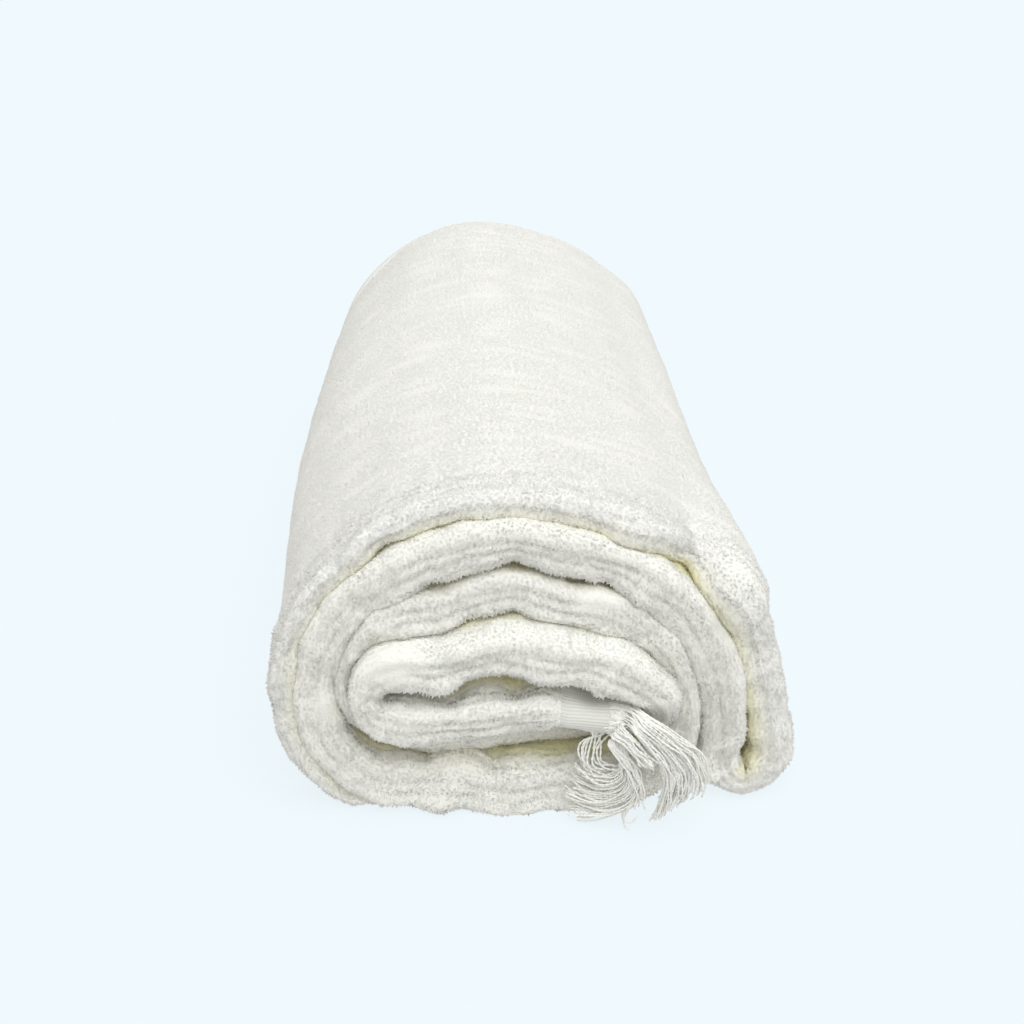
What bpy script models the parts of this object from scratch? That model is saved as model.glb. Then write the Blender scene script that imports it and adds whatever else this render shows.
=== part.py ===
"""Rolled bath towel: one length of terry folded in half along its length, then rolled up from its fringed end.

+Z is up, the roll lies along Y, and its fold end, where the spiral and the fringe show, faces -Y.
The origin is on the flat underside, below the middle of the roll.
"""

import math

import bmesh
import bpy
import numpy as np

# Driving dimensions
MM = 0.001
FOLDED_WIDTH = 346 * MM  # the towel is twice as wide before it is folded
FRONT = -168 * MM  # plane in which the folds of most turns lie
SELVEDGE_STEP = 4 * MM  # the lower selvedge stops this much short of the upper one
STATION_PITCH = 10 * MM  # along the cloth's path
FOLD_ANGLES = (62, 31, 0, -31, -62)  # points round the fold at the front, degrees
SKIN_DEPTHS = (0.12, 0.34, 0.56, 0.78, 1.0)  # points back along a leaf, as shares of its width
LINING_DEPTHS = (0.5, 1.0)  # the same inside the fold, where nothing shows
MIDDLE_GAP = 0.6 * MM  # least space between the two leaves
SHARP_EDGE = math.radians(40)

# The path of the folded cloth, seen from the front, from its fringed end in the core to the hem underneath.
# place, x, z, half of the doubled cloth's thickness, thickness of one leaf, how far its fold stands forward
CORE = (
    ("border's end", 37.0, 51.0, 6.8, 2.2, 10),
    ("border", 27.0, 52.3, 7.2, 2.6, 10),
    ("floor, right", 12.0, 54.3, 7.4, 5.8, 10),
    ("floor, middle", -12.0, 54.4, 7.5, 6.0, 10),
    ("floor, left", -48.0, 53.0, 7.2, 6.2, 10),
    ("turn, below", -60.0, 56.8, 5.6, 5.0, 10),
    ("turn", -64.4, 66.0, 4.4, 4.0, 10),
    ("turn, above", -59.8, 75.2, 6.0, 5.4, 10),
    ("roof, left", -49.5, 79.6, 8.2, 6.5, 10),
    ("roof, dip", -35.0, 80.2, 8.8, 6.5, 10),
    ("roof, tent", -9.0, 85.4, 8.8, 6.5, 10),
    ("roof, right", 9.5, 81.2, 8.6, 6.5, 10),
    ("roof, slope", 26.0, 77.6, 8.4, 6.5, 10),
    ("shoulder", 40.0, 69.8, 7.4, 6.0, 10),
    ("flank, upper", 49.4, 60.5, 5.4, 4.8, 6),
    ("flank", 52.2, 50.0, 4.2, 3.8, -4),
)
SECOND_TURN = (
    ("corner, right", 47.5, 39.0, 5.2, 4.6, -13),
    ("floor, right", 34.0, 34.0, 6.8, 6.0, -17),
    ("floor, middle", -5.0, 33.4, 7.2, 6.4, -18),
    ("floor, left", -46.0, 34.6, 6.8, 6.2, -14),
    ("corner, left", -64.0, 40.5, 4.6, 4.2, -8),
    ("flank, left", -72.8, 57.0, 2.6, 2.2, -1),
    ("flank, upper left", -71.4, 74.5, 2.8, 2.4, 0),
    ("shoulder, left", -64.4, 85.8, 3.6, 3.2, 0),
    ("roof, left", -51.0, 97.0, 7.0, 6.0, 0),
    ("roof, dip", -34.2, 99.2, 7.9, 6.5, 0),
    ("roof, rise", -19.4, 104.8, 8.0, 6.5, 0),
    ("roof, tent", -6.0, 107.0, 8.0, 6.5, 0),
    ("roof, step", 10.0, 101.0, 7.8, 6.5, 0),
    ("roof, right", 24.7, 97.6, 7.8, 6.5, 0),
    ("shoulder, right", 41.0, 89.2, 6.8, 6.0, 0),
    ("flank, upper right", 56.6, 71.0, 4.8, 4.3, 0),
    ("flank, right", 62.4, 54.0, 3.9, 3.5, 0),
)
THIRD_TURN = (
    ("flank, lower right", 61.0, 34.4, 5.6, 5.0, 0),
    ("corner, right", 52.6, 18.8, 8.0, 6.5, 0),
    ("floor, right", 37.0, 10.0, 9.9, 6.5, 0),
    ("floor, middle", 12.0, 9.7, 9.9, 6.5, 0),
    ("floor, left", -14.0, 9.7, 9.9, 6.5, 0),
    ("floor, over the hem", -32.0, 13.9, 7.7, 6.4, 0),
    ("floor, on the tuck", -52.0, 14.6, 7.6, 6.4, 0),
    ("corner, left", -68.5, 20.2, 7.6, 6.4, 0),
    ("flank, lower left", -80.0, 35.5, 6.9, 6.0, 0),
    ("flank, left", -83.6, 57.0, 6.5, 5.8, 0),
    ("flank, upper left", -79.6, 82.5, 6.3, 5.6, 0),
    ("shoulder, left", -68.0, 101.8, 6.6, 5.9, 0),
    ("roof, left", -47.5, 116.4, 7.9, 6.5, 0),
    ("roof, dip", -33.3, 122.6, 8.1, 6.5, 0),
    ("roof, tent", -8.0, 127.8, 8.0, 6.5, 0),
    ("roof, step", 9.4, 123.4, 8.1, 6.5, 0),
    ("roof, right", 24.0, 119.0, 8.1, 6.5, 0),
    ("roof, slope", 46.0, 106.9, 7.8, 6.5, 0),
    ("shoulder, right", 62.0, 89.4, 7.8, 6.5, 0),
    ("flank, upper right", 71.0, 73.0, 7.5, 6.5, 0),
    ("flank, right", 76.4, 51.0, 7.8, 6.5, 0),
    ("flank, lower right", 78.6, 29.0, 8.2, 6.5, -1),
)
OUTER_TURN = (
    ("turn back, left", 80.6, 13.4, 8.3, 6.5, 0),
    ("turn back, floor", 89.0, 8.3, 8.5, 6.5, 0),
    ("turn back, right", 97.3, 13.4, 8.2, 6.4, -1),
    ("flank, lower right", 99.4, 25.0, 8.2, 6.4, -2),
    ("flank, right", 95.8, 48.0, 8.0, 6.4, -3),
    ("flank, upper right", 87.6, 76.5, 7.6, 6.4, -3),
    ("shoulder, right", 74.0, 105.0, 6.9, 6.0, -2),
    ("pinch", 61.6, 114.8, 6.0, 5.4, -9),
    ("roof, slope", 44.0, 127.8, 5.8, 5.2, -6),
    ("roof, right", 20.0, 137.0, 5.8, 5.2, -6),
    ("roof, crest", -9.0, 143.0, 5.7, 5.1, -6),
    ("roof, left", -36.0, 138.6, 5.6, 5.1, -6),
    ("shoulder, left", -62.0, 124.8, 5.4, 5.0, -5),
    ("flank, upper left", -85.0, 100.4, 5.2, 4.8, -3),
    ("flank, left", -96.0, 70.0, 5.2, 4.8, -2),
    ("flank, lower left", -96.4, 42.0, 5.2, 4.8, -2),
    ("corner, left", -88.2, 20.0, 4.6, 4.2, -2),
    ("tuck, bend", -77.0, 6.2, 3.4, 3.0, -2),
    ("tuck, left", -64.0, 2.5, 2.6, 2.3, -2),
    ("tuck, right", -44.0, 2.4, 2.5, 2.2, -2),
    ("hem", -33.0, 2.3, 2.4, 2.1, -2),
)

# How the roll's section changes from the front to the back.
# place, y, width left of the middle, width right of it, height, each as a share of the front's
ALONG = (
    ("front", -168, 1.00, 1.00, 1.00),
    ("behind the flare", -110, 1.00, 0.99, 1.00),
    ("middle", -20, 1.00, 0.96, 1.01),
    ("far third", 80, 0.99, 0.95, 1.025),
    ("back", 178, 0.97, 0.95, 1.02),
)

# The fringe, of warp ends left loose past the border
STRIP_GAP = 0.3 * MM
STRIP_WIDTH = 2.4 * MM
STRIP_WALL = 2.2 * MM
STRIP_DEPTH = 13 * MM  # how far back it follows each leaf
STRAND_RADIUS = 0.44 * MM
STRAND_SIDES = 3
STRAND_STEPS = 10
STRANDS_BETWEEN = 4  # in each layer, from one route to the next
FRONT_LAYER_ENDS = 3.5  # the route, counted from 0, past which there is one layer only
LAYER_FORWARD = 1.9 * MM  # the front layer's strands lie this far before the back one's
LAYER_ABOVE = 0.5 * MM  # and this far above them at the top
OUT_OF_WALL = 1.3 * MM  # the front layer leaves through the strip's outer face, and the back one through its side
STRIP_MARGIN = 0.01  # share of the strip left bare at each end

# Routes that the strands follow from the strip to their tips, each as points x, y, z.
# The strands between two routes blend from one to the next.
ROUTES = (
    ("over the right", (46, -178.5, 58.6), (54, -180, 55), (61.5, -181, 48), (66.3, -181.5, 38),
     (67.8, -180.5, 28), (67.2, -179.5, 19)),
    ("right", (45, -181.2, 55), (50.6, -181.8, 49.4), (55.8, -182.4, 42), (59, -182.5, 33),
     (59.2, -181.5, 21), (56.5, -180, 11.5)),
    ("inner right", (43.8, -182.8, 50.6), (46.8, -183.4, 46), (49.8, -183.6, 38.5), (51, -183, 28),
     (49.4, -180, 10), (46, -173.5, 0.5)),
    ("centre", (42.2, -183.6, 46), (43.8, -184.6, 38.5), (44.4, -184.2, 29), (42.8, -183.2, 16),
     (40, -181.2, 3), (43.5, -180, 0.5)),
    ("left, outer sweep", (40.2, -181.6, 40), (39.4, -182, 32.5), (37.6, -181.5, 23.5), (32, -179.8, 13),
     (23, -175.8, 4.5), (14, -171, 0.5)),
    ("left, inner sweep", (37.4, -176.4, 38.4), (34.6, -177.4, 32.4), (30.8, -177, 26), (25.4, -175, 20),
     (19.5, -172.6, 16), (12.6, -171.2, 14)),
    ("under the border", (30, -171, 40), (22.4, -172.5, 37.6), (17, -174, 33), (16.6, -175.6, 28),
     (18.6, -177, 24.6), (21.5, -178.4, 23.5)),
)


def natural_spline(knots, values, at):
    """The natural cubic spline through values at knots, read at the places in at."""
    count = len(knots)
    gaps = np.diff(knots)
    slopes = np.diff(values, axis=0) / gaps[:, None]
    system = np.eye(count)
    right = np.zeros_like(values)
    for i in range(1, count - 1):
        system[i, i - 1 : i + 2] = gaps[i - 1], 2 * (gaps[i - 1] + gaps[i]), gaps[i]
        right[i] = 6 * (slopes[i] - slopes[i - 1])
    bends = np.linalg.solve(system, right)
    i = np.clip(np.searchsorted(knots, at, side="right") - 1, 0, count - 2)
    gap = gaps[i][:, None]
    past = (at - knots[i])[:, None]
    left = gap - past
    cubic = (bends[i] * left**3 + bends[i + 1] * past**3) / (6 * gap)
    line = (values[i] / gap - bends[i] * gap / 6) * left + (values[i + 1] / gap - bends[i + 1] * gap / 6) * past
    return cubic + line


def cloth_path():
    """Stations along the cloth: centre (x, z), unit normal (x, z), half thickness, leaf and forward offset."""
    rows = np.array([row[1:] for row in CORE + SECOND_TURN + THIRD_TURN + OUTER_TURN], float) * MM
    chords = np.hypot(*np.diff(rows[:, :2], axis=0).T)
    knots = np.concatenate([[0], np.cumsum(chords)])
    places = [0.0]
    for start, chord in zip(knots, chords):
        steps = max(2, round(chord / STATION_PITCH))
        places += [start + chord * step / steps for step in range(1, steps + 1)]
    places = np.array(places)
    stations = natural_spline(knots, rows, places)
    nudge = 0.05 * MM
    ahead = natural_spline(knots, rows, places + nudge)[:, :2]
    behind = natural_spline(knots, rows, places - nudge)[:, :2]
    heading = ahead - behind
    heading /= np.hypot(*heading.T)[:, None]
    normals = np.column_stack([-heading[:, 1], heading[:, 0]])
    return stations, normals


def fold_section(half, leaf, width=FOLDED_WIDTH, skin=SKIN_DEPTHS, lining=LINING_DEPTHS, step=SELVEDGE_STEP):
    """The doubled cloth cut across its path: (across, depth) points round both leaves and the fold at depth 0."""
    leaf = min(leaf, half - MIDDLE_GAP / 2)
    inner = half - leaf
    upper, lower = width, width - step
    points = [(half, half + (upper - half) * share) for share in reversed(skin)]
    points.append((half, half))
    for angle in FOLD_ANGLES:
        turn = math.radians(angle)
        points.append((half * math.sin(turn), half * (1 - math.cos(turn))))
    points.append((-half, half))
    points += [(-half, half + (lower - half) * share) for share in skin]
    points += [(-inner, half + (lower - half) * share) for share in reversed(lining)]
    points.append((-inner, half))
    points.append((0, leaf))
    points.append((inner, half))
    points += [(inner, half + (upper - half) * share) for share in lining]
    return points


def shaped(x, y, z):
    """A point of the plain roll moved to the real one, which narrows towards the back and lies flat on the floor."""
    rows = np.array([row[1:] for row in ALONG], float)
    left, right, height = natural_spline(rows[:, 0] * MM, rows[:, 1:], np.array([y]))[0]
    return (x * (left if x < 0 else right), y, max(z * height, 0.0))


def new_object(name, points, faces, material):
    """A closed mesh of these faces, as an object of the scene."""
    body = bmesh.new()
    vertices = [body.verts.new(point) for point in points]
    for face in faces:
        body.faces.new([vertices[i] for i in face])
    bmesh.ops.recalc_face_normals(body, faces=body.faces)
    mesh = bpy.data.meshes.new(name)
    body.to_mesh(mesh)
    body.free()
    mesh.materials.append(material)
    mesh.shade_smooth()
    mesh.set_sharp_from_angle(angle=SHARP_EDGE)
    result = bpy.data.objects.new(name, mesh)
    bpy.context.collection.objects.link(result)
    return result


def swept(rings):
    """Faces that join each ring of points to the next, with a cap at each end."""
    size = len(rings[0])
    points = [point for ring in rings for point in ring]
    faces = [tuple(range(size)), tuple(range(len(points) - size, len(points)))]
    for start in range(0, len(points) - size, size):
        for i in range(size):
            after = (i + 1) % size
            faces.append((start + i, start + after, start + size + after, start + size + i))
    return points, faces


def cotton(name, colour, roughness):
    material = bpy.data.materials.new(name)
    material.use_nodes = True
    shader = material.node_tree.nodes["Principled BSDF"]
    shader.inputs["Base Color"].default_value = (*colour, 1)
    shader.inputs["Roughness"].default_value = roughness
    shader.inputs["Metallic"].default_value = 0
    return material


def section_ring(station, normal, section):
    """A section's points in the room, at one station of the cloth's path."""
    x, z, _, _, forward = station
    return [
        shaped(x + normal[0] * across, FRONT - forward + depth, z + normal[1] * across)
        for across, depth in section
    ]


def make_towel(stations, normals):
    rings = [
        section_ring(station, normal, fold_section(station[2], station[3]))
        for station, normal in zip(stations, normals)
    ]
    points, faces = swept(rings)
    return new_object("towel", points, faces, cotton("terry cotton", (0.86, 0.85, 0.80), 0.95))


def make_strip(station, normal):
    """The narrow strip that holds the fringe's roots, parted from the border's end by a hair."""
    section = fold_section(station[2], STRIP_WALL, STRIP_DEPTH, (1.0,), (1.0,), 0)
    away = np.array([-normal[1], normal[0]])  # from the cloth
    rings = []
    for reach in (STRIP_GAP, STRIP_GAP + STRIP_WIDTH):
        moved = station.copy()
        moved[:2] += away * reach
        rings.append(section_ring(moved, normal, section))
    points, faces = swept(rings)
    return new_object("fringe", points, faces, cotton("fringe cotton", (0.80, 0.80, 0.78), 0.85))


def root_point(station, normal, share):
    """A point inside the strip's wall, and the way out of it: share 0 is on the upper leaf, 1 on the lower one."""
    middle = station[2] - STRIP_WALL / 2
    flat = STRIP_DEPTH - station[2] - STRIP_WALL
    run = share * (2 * flat + math.pi * middle) - flat
    turn = min(max(run / middle, 0), math.pi)
    behind = max(-run, run - math.pi * middle, 0)
    way_down, way_front = -math.cos(turn), math.sin(turn)
    away = np.array([-normal[1], normal[0]])  # from the cloth, whose normal points down here
    x, z = station[:2] + away * (STRIP_GAP + STRIP_WIDTH / 2) + normal * middle * way_down
    y = FRONT - station[4] + station[2] - middle * way_front + behind
    return np.array([x, y, z]), np.array([normal[0] * way_down, -way_front, normal[1] * way_down])


def strand_route(station, normal, place, layer):
    """Points of one strand, blended from the two routes beside it. The place runs from 0 to the last route."""
    last = len(ROUTES) - 1
    first = min(int(place), last - 1)
    share = place - first
    near = np.array(ROUTES[first][1:], float) * MM
    far = np.array(ROUTES[first + 1][1:], float) * MM
    points = near * (1 - share) + far * share
    fade = np.linspace(1, 0, len(points))
    points[:, 1] -= layer * LAYER_FORWARD
    points[:, 2] += layer * LAYER_ABOVE * fade * (1 - 2 * place / last)
    points[:, 2] = np.maximum(points[:, 2], STRAND_RADIUS)
    rooted = (place + 0.5 * layer / STRANDS_BETWEEN) / last
    root, outward = root_point(station, normal, STRIP_MARGIN + (1 - 2 * STRIP_MARGIN) * rooted)
    leaving = [root + outward * OUT_OF_WALL] * layer
    knots = np.vstack([root, *leaving, points])
    chords = np.linalg.norm(np.diff(knots, axis=0), axis=1)
    lengths = np.concatenate([[0], np.cumsum(chords)])
    return natural_spline(lengths, knots, np.linspace(0, lengths[-1], STRAND_STEPS + 1))


def strand_rings(route):
    """A thin tube's rings round the route, which keep one side up."""
    headings = np.gradient(route, axis=0)
    headings /= np.linalg.norm(headings, axis=1)[:, None]
    rings = []
    side = np.cross(headings[0], (0, 0, 1))
    for point, heading in zip(route, headings):
        side = side - heading * (side @ heading)
        side /= np.linalg.norm(side)
        over = np.cross(side, heading)
        ring = []
        for i in range(STRAND_SIDES):
            turn = 2 * math.pi * i / STRAND_SIDES
            corner = point + STRAND_RADIUS * (side * math.cos(turn) + over * math.sin(turn))
            ring.append((corner[0], corner[1], max(corner[2], 0.0)))
        rings.append(ring)
    return rings


def make_fringe(station, normal):
    """Strands rooted in their strip, which are one body with it."""
    strip = make_strip(station, normal)
    points, faces = [], []
    places = np.linspace(0, len(ROUTES) - 1, (len(ROUTES) - 1) * STRANDS_BETWEEN + 1)
    for layer in (0, 1):
        for place in places[places <= (FRONT_LAYER_ENDS if layer else places[-1])]:
            strand_points, strand_faces = swept(strand_rings(strand_route(station, normal, place, layer)))
            faces += [tuple(i + len(points) for i in face) for face in strand_faces]
            points += strand_points
    strands = new_object("strands", points, faces, strip.data.materials[0])
    strands.hide_render = True
    strands.display_type = "WIRE"
    union = strip.modifiers.new("strands", "BOOLEAN")
    union.operation = "UNION"
    union.object = strands
    union.use_self = True  # some strands meet where they root
    return strip


def main():
    for old in list(bpy.data.objects):
        bpy.data.objects.remove(old, do_unlink=True)
    stations, normals = cloth_path()
    make_towel(stations, normals)
    make_fringe(stations[0], normals[0])


main()
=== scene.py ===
"""Looks of the rolled bath towel: terry cloth with its pile, its plain-woven border and its fringe.

Metres, +Z up. The roll lies along Y and its fold end faces -Y.
The cloth is folded in half along its length.
Its path starts at the fringed end in the core and ends at the hem under the roll.
A place on its outside is given by two lengths: run, along that path, and around, round the fold at the front.
Around is 0 at the fold's tip and above 0 on the side to which the path's normal points.
"""

import math

import bpy
import numpy as np
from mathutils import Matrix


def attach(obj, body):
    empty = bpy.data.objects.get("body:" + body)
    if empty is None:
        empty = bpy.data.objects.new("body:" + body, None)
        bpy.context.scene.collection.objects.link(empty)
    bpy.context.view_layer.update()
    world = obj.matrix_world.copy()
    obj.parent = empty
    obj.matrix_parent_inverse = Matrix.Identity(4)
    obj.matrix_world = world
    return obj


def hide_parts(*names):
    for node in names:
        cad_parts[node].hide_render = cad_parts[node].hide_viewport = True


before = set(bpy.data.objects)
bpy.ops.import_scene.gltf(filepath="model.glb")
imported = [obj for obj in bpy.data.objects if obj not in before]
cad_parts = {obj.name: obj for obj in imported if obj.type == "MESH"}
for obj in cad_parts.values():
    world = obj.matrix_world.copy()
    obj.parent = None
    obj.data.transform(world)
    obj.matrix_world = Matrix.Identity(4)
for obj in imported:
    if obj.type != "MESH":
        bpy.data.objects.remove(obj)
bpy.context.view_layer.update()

# Driving dimensions
MM = 0.001
FOLDED_WIDTH = 346 * MM  # the towel is twice as wide before it is folded
FRONT = -168 * MM  # plane in which the folds of most turns lie
SELVEDGE_STEP = 4 * MM  # the lower selvedge stops this much short of the upper one
SELVEDGE_ROUND = 2 * MM  # depth of a selvedge's round edge
PILE = 1.3 * MM  # the pile's usual height, by which the ground cloth lies inside the towel's outline
BORDER = 26 * MM  # length of the border without pile
BORDER_INSET = 0.1  # the share of that height by which the border lies inside it
INSET_STEP = (-2 * MM, 3 * MM)  # past the border, where the full inset comes in
MIDDLE_GAP = 0.6 * MM  # least space between the two leaves
ROW_PITCH = 3.9 * MM  # from one row of loops to the next
WARP_PITCH = 1.3 * MM  # from one line of the border's weave to the next

# Relief of the ground cloth. A pair gives the arounds between which a part of it comes in or fades.
ROW_HEIGHT = 0.32 * MM
ROW_WOBBLE = 0.4  # of a row's pitch
ROW_MIDDLE = 0.55  # a row's strength, the range of it and the least
ROW_RANGE = 0.9
ROW_LEAST = 0.15
ROWS_FADE = (11 * MM, 19 * MM)
FRONT_FADE = (14 * MM, 40 * MM)  # where the front's swells give way to those further back
SELVEDGE_FADE = (300 * MM, 345 * MM)  # where rows and swells end
TERRY_STEP = 6 * MM  # past the border, where the terry's full relief comes in
BORDER_RELIEF = 0.2  # the border's share of the rows and swells
SHOULDER = (6 * MM, 3 * MM, 0.8 * MM)  # where a fold's front is fuller than round, its reach and height
GAP_RISE = 1.9 * MM  # by which the cloth comes nearer to its neighbour behind the folds
GAP_STEP = (1.5 * MM, 6.5 * MM)
NEAR_RISE = 0.7 * MM  # and by which it comes nearer still close to them
NEAR_STEP = (3 * MM, 9 * MM)
NEAR_FADE = (30 * MM, 70 * MM)

# Painted shade: a creamy tint that stands in for the warm shade between the turns
PAINTED_SHADE_ABOVE = (13 * MM, 6 * MM, 8 * MM, 1 * MM)  # how far round it starts on each of the four turns
PAINTED_SHADE_BELOW = (14 * MM, 9 * MM, 9 * MM, 9 * MM)  # and on the side away from the path's normal
PAINTED_SHADE_STEP = 8 * MM  # length in which it comes in
PAINTED_SHADE_FADE = (60 * MM, 110 * MM)  # where it fades again, out of sight
PAINTED_SHADE_ON_FRONTS = 0.06  # its share on the folds' own fronts

# Noises on the cloth: a hill's length along the run and around, in mm, and the seed
WOBBLE = (24, 30, 32)  # by which the rows of loops bend
PATCHES = (26, 22, 24)  # in which they are strong or faint
KNOBS = (3.4, 3.9, 25)
BANDS = (30, 8, 22)
FLOW = (9, 8, 31)

# The path of the folded cloth, seen from the front, from its fringed end to the hem underneath.
# place, x, z, half of the doubled cloth's thickness, thickness of one leaf, how far its fold stands forward
CORE = (
    ("border's end", 37, 51, 6.8, 2.2, 10),
    ("border", 27, 52.3, 7.2, 2.6, 10),
    ("floor, right", 12, 54.3, 7.4, 5.8, 10),
    ("floor, middle", -12, 54.4, 7.5, 6, 10),
    ("floor, left", -48, 53, 7.2, 6.2, 10),
    ("turn, below", -60, 56.8, 5.6, 5, 10),
    ("turn", -64.4, 66, 4.4, 4, 10),
    ("turn, above", -59.8, 75.2, 6, 5.4, 10),
    ("roof, left", -49.5, 79.6, 8.2, 6.5, 10),
    ("roof, dip", -35, 80.2, 8.8, 6.5, 10),
    ("roof, tent", -9, 85.4, 8.8, 6.5, 10),
    ("roof, right", 9.5, 81.2, 8.6, 6.5, 10),
    ("roof, slope", 26, 77.6, 8.4, 6.5, 10),
    ("shoulder", 40, 69.8, 7.4, 6, 10),
    ("flank, upper", 49.4, 60.5, 5.8, 5, 9),
    ("flank", 52.2, 50, 4.6, 4, 5),
)
SECOND_TURN = (
    ("corner, right", 47.5, 39, 5.2, 4.6, -5),
    ("floor, right", 34, 34, 6.8, 6, -15),
    ("floor, middle", -5, 33.4, 7.2, 6.4, -14),
    ("floor, left", -46, 34.6, 6.8, 6.2, -11),
    ("corner, left", -64, 40.5, 4.6, 4.2, -8),
    ("flank, left", -72.8, 57, 2.6, 2.2, -1),
    ("flank, upper left", -71.4, 74.5, 2.8, 2.4, 0),
    ("shoulder, left", -64.4, 85.8, 3.6, 3.2, 0),
    ("roof, left", -51, 97, 7, 6, 0),
    ("roof, dip", -34.2, 99.2, 7.9, 6.5, 0),
    ("roof, rise", -19.4, 104.8, 8, 6.5, 0),
    ("roof, tent", -6, 107, 8, 6.5, 0),
    ("roof, step", 10, 101, 7.8, 6.5, 0),
    ("roof, right", 24.7, 97.6, 7.8, 6.5, 0),
    ("shoulder, right", 41, 89.2, 6.8, 6, 0),
    ("flank, upper right", 56.6, 71, 4.8, 4.3, 0),
    ("flank, right", 62.4, 54, 3.9, 3.5, 0),
)
THIRD_TURN = (
    ("flank, lower right", 61, 34.4, 5.6, 5, 0),
    ("corner, right", 52.6, 18.8, 8, 6.5, 0),
    ("floor, right", 37, 10, 9.9, 6.5, 0),
    ("floor, middle", 12, 9.7, 9.9, 6.5, 0),
    ("floor, left", -14, 9.7, 9.9, 6.5, 0),
    ("floor, over the hem", -32, 13.9, 7.7, 6.4, 0),
    ("floor, on the tuck", -52, 14.6, 7.6, 6.4, 0),
    ("corner, left", -68.5, 20.2, 7.6, 6.4, 0),
    ("flank, lower left", -80, 35.5, 6.9, 6, 0),
    ("flank, left", -83.6, 57, 6.5, 5.8, 0),
    ("flank, upper left", -79.6, 82.5, 6.3, 5.6, 0),
    ("shoulder, left", -68, 101.8, 6.6, 5.9, 0),
    ("roof, left", -47.5, 116.4, 7.9, 6.5, 0),
    ("roof, dip", -33.3, 122.6, 8.1, 6.5, 0),
    ("roof, tent", -8, 127.8, 8, 6.5, 0),
    ("roof, step", 9.4, 123.4, 8.1, 6.5, 0),
    ("roof, right", 24, 119, 8.1, 6.5, 0),
    ("roof, slope", 46, 106.9, 7.8, 6.5, 0),
    ("shoulder, right", 62, 89.4, 7.8, 6.5, 0),
    ("flank, upper right", 71, 73, 7.5, 6.5, 0),
    ("flank, right", 76.4, 51, 7.8, 6.5, 0),
    ("flank, lower right", 78.6, 29, 8.2, 6.5, -1),
)
OUTER_TURN = (
    ("turn back, left", 80.6, 13.4, 8.3, 6.5, 0),
    ("turn back, floor", 89, 8.3, 8.5, 6.5, 0),
    ("turn back, right", 97.3, 13.4, 8.2, 6.4, -1),
    ("flank, lower right", 99.4, 25, 8.2, 6.4, -2),
    ("flank, right", 95.8, 48, 8, 6.4, -3),
    ("flank, upper right", 87.6, 76.5, 7.6, 6.4, -3),
    ("shoulder, right", 74, 105, 6.9, 6, -2),
    ("pinch", 61.6, 114.8, 6, 5.4, -9),
    ("roof, slope", 44, 127.8, 5.8, 5.2, -6),
    ("roof, right", 20, 137, 5.8, 5.2, -6),
    ("roof, crest", -9, 143, 5.7, 5.1, -6),
    ("roof, left", -36, 138.6, 5.6, 5.1, -6),
    ("shoulder, left", -62, 124.8, 5.4, 5, -5),
    ("flank, upper left", -85, 100.4, 5.2, 4.8, -3),
    ("flank, left", -96, 70, 5.2, 4.8, -2),
    ("flank, lower left", -96.4, 42, 5.2, 4.8, -2),
    ("corner, left", -88.2, 20, 4.6, 4.2, -2),
    ("tuck, bend", -77, 6.2, 3.4, 3, -3),
    ("tuck, left", -64, 2.5, 2.6, 2.3, -5),
    ("tuck, right", -44, 2.4, 2.5, 2.2, -8),
    ("hem", -33, 2.3, 2.4, 2.1, -10),
)
PATH_ROWS = CORE + SECOND_TURN + THIRD_TURN + OUTER_TURN

# How the roll's section changes from the front to the back.
# place, y, width left of the middle, width right of it, height, each as a share of the front's
ALONG = (
    ("front", -168, 1, 1, 1),
    ("behind the flare", -110, 1.005, 1.01, 1),
    ("middle", -20, 1.03, 1, 1.01),
    ("far third", 80, 1.05, 1.02, 1.025),
    ("back", 178, 1.03, 1.03, 1.025),
)

# Mesh of the ground cloth
PATH_STEP = 0.5 * MM  # at which the path's spline is read
RING_PITCH = 2.75 * MM  # from ring to ring where the path is straight
RING_TURN = math.radians(9)  # and their turn where it bends
NEAR = 20 * MM  # around the fold's tip, as far as the close points go
NEAR_POINTS = 45
INNER_POINTS = 16  # from there to the selvedge, on the side to which the normal points
OUTER_POINTS = 50  # and on the other side, the outer turn's outside
INNER_SPREAD = 1.6  # power by which the points on that side stand closer near the front
EDGE_POINTS = 3  # round a selvedge
LINING_SHARES = (0.9, 0.6, 0.3, 0.05)
LINING_AROUND = 0.3  # the around of the leaves' inner faces, for their looks

# Soft unevenness of the cloth, in mm: height near the fold, height further back, length along the run, length
# around, seed
SWELLS = (
    (1.1, 0.7, 34, 30, 11),
    (1.1, 0.3, 13, 11, 12),
    (0.6, 0.0, 6, 5.5, 13),
)
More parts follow.
